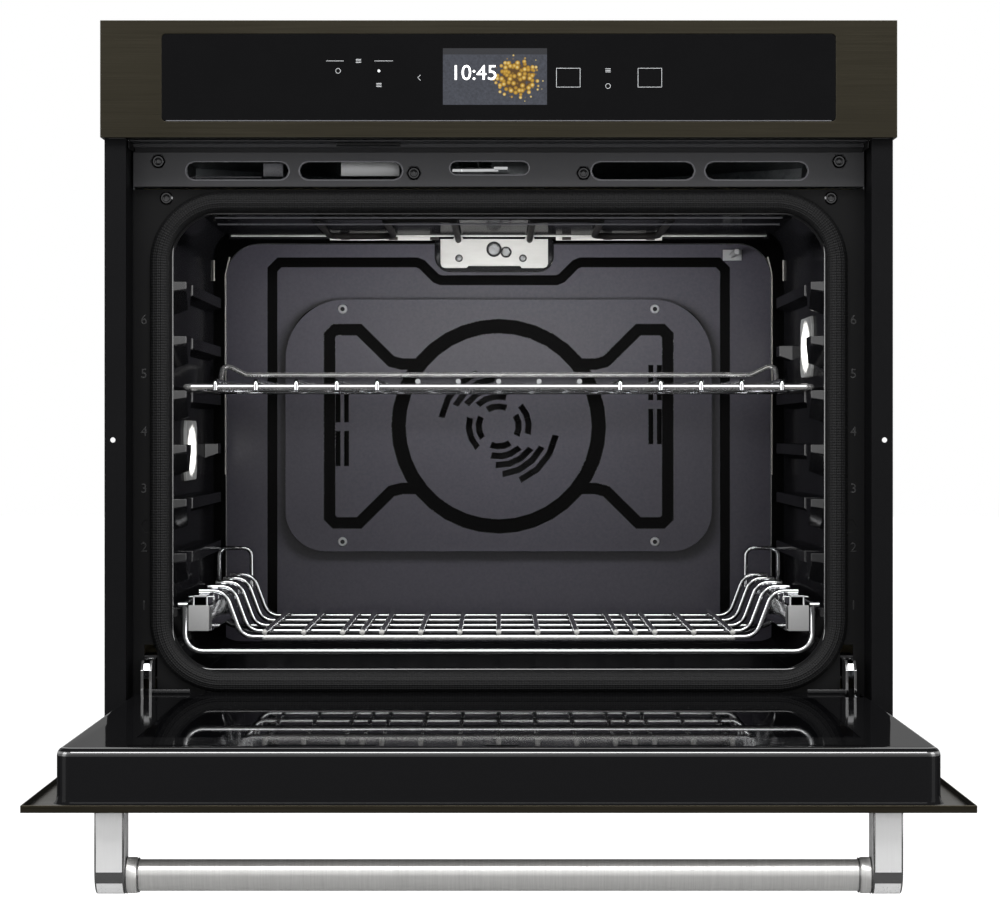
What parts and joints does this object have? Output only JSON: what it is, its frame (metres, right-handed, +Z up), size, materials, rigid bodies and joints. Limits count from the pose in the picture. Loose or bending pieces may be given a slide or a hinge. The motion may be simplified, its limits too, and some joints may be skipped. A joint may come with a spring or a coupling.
{
  "type": "wall oven",
  "caption": "Built-in wall oven with a drop-down door, pressed rack guides, a flat rack, a roll-out rack, a fan baffle and a touch control fascia.",
  "frame": {"origin": "middle of the base's front edge, where it rests on the cabinet shelf, in the cabinet's front plane", "axes": "+X to the oven's right as seen from the front, +Y to the back, +Z up"},
  "size_m": [0.762, 1.134, 0.767],
  "materials": {
    "black_stainless": "satin",
    "black_enamel": "gloss",
    "chrome_plate": "polished",
    "handle_steel": "brushed",
    "bright_steel": "satin",
    "zinc_sheet": "satin",
    "heater_tube": "matt",
    "clear_glass": "polished",
    "black_glass": "polished",
    "lamp_glass": "clear",
    "gasket_weave": "woven",
    "mineral_wool": "fibrous",
    "black_plastic": "matt"
  },
  "bodies": {
    "chassis": {"control_fascia": "black_stainless", "side_trim_left": "black_stainless", "side_trim_right": "black_stainless", "vent_trim": "black_stainless", "lower_vent_trim": "black_stainless", "front_frame": "black_enamel", "cavity_wall_left": "black_enamel", "cavity_wall_right": "black_enamel", "cavity_floor": "black_enamel", "cavity_ceiling": "black_enamel", "cavity_back": "black_enamel", "fan_baffle": "black_enamel", "rack_frame": "chrome_plate", "hinge_arm_left": "chrome_plate", "hinge_arm_right": "chrome_plate", "temperature_probe": "chrome_plate", "outer_slides": "bright_steel", "broil_reflector": "bright_steel", "attachment_hub_plate": "bright_steel", "chassis_screws": "bright_steel", "baffle_screws": "bright_steel", "base_pan": "zinc_sheet", "side_panel_left": "zinc_sheet", "side_panel_right": "zinc_sheet", "top_panel": "zinc_sheet", "rear_panel": "zinc_sheet", "terminal_box": "zinc_sheet", "air_duct": "zinc_sheet", "blower_housing": "zinc_sheet", "control_shelf": "zinc_sheet", "hinge_receivers": "zinc_sheet", "latch_motor": "zinc_sheet", "convection_motor": "zinc_sheet", "blower_motor": "zinc_sheet", "broil_element": "heater_tube", "bake_element": "heater_tube", "convection_element": "heater_tube", "control_glass": "black_glass", "oven_lamp_left": "lamp_glass", "oven_lamp_right": "lamp_glass", "door_gasket": "gasket_weave", "insulation_blanket": "mineral_wool", "display_module": "black_plastic", "control_board": "black_plastic"},
    "door": {"door_skin": "black_stainless", "door_window": "clear_glass", "door_liner": "black_enamel", "door_inner_glass": "clear_glass", "door_middle_glass": "clear_glass", "door_glass_frame": "zinc_sheet", "handle_bar": "handle_steel", "handle_bracket_left": "handle_steel", "handle_bracket_right": "handle_steel", "hinge_channels": "zinc_sheet"},
    "flat_rack": {"flat_rack": "chrome_plate"},
    "sliding_shelf": {"sliding_shelf": "chrome_plate"},
    "mid_slides": {"mid_slides": "bright_steel"},
    "convection_fan": {"convection_fan": "zinc_sheet"},
    "blower_wheel": {"blower_wheel": "zinc_sheet"},
    "latch_hook": {"latch_hook": "bright_steel"}
  },
  "joints": [
    {"name": "door_hinge", "type": "hinge", "parent": "chassis", "child": "door", "pos_m": [0, -0.002, 0.056], "axis": [1, 0, 0], "range_deg": [-90, 0]},
    {"name": "flat_rack_slide", "type": "slide", "parent": "chassis", "child": "flat_rack", "axis": [0, -1, 0], "range_m": [0, 0.35]},
    {"name": "shelf_slide", "type": "slide", "parent": "chassis", "child": "sliding_shelf", "axis": [0, -1, 0], "range_m": [0, 0.4]},
    {"name": "mid_slide", "type": "slide", "parent": "chassis", "child": "mid_slides", "axis": [0, -1, 0], "range_m": [0, 0.2]},
    {"name": "latch_swing", "type": "hinge", "parent": "chassis", "child": "latch_hook", "pos_m": [-0.04092, 0.0575, 0.586], "axis": [0, 0, -1], "range_deg": [0, 20]},
    {"name": "convection_fan_spin", "type": "hinge", "parent": "chassis", "child": "convection_fan", "pos_m": [0, 0.52, 0.336], "axis": [0, 1, 0], "continuous": true},
    {"name": "blower_wheel_spin", "type": "hinge", "parent": "chassis", "child": "blower_wheel", "pos_m": [0, 0.4, 0.6], "axis": [0, 0, 1], "continuous": true}
  ],
  "couplings": [
    {"joint": "mid_slide", "follows": "shelf_slide", "ratio": 0.5}
  ]
}
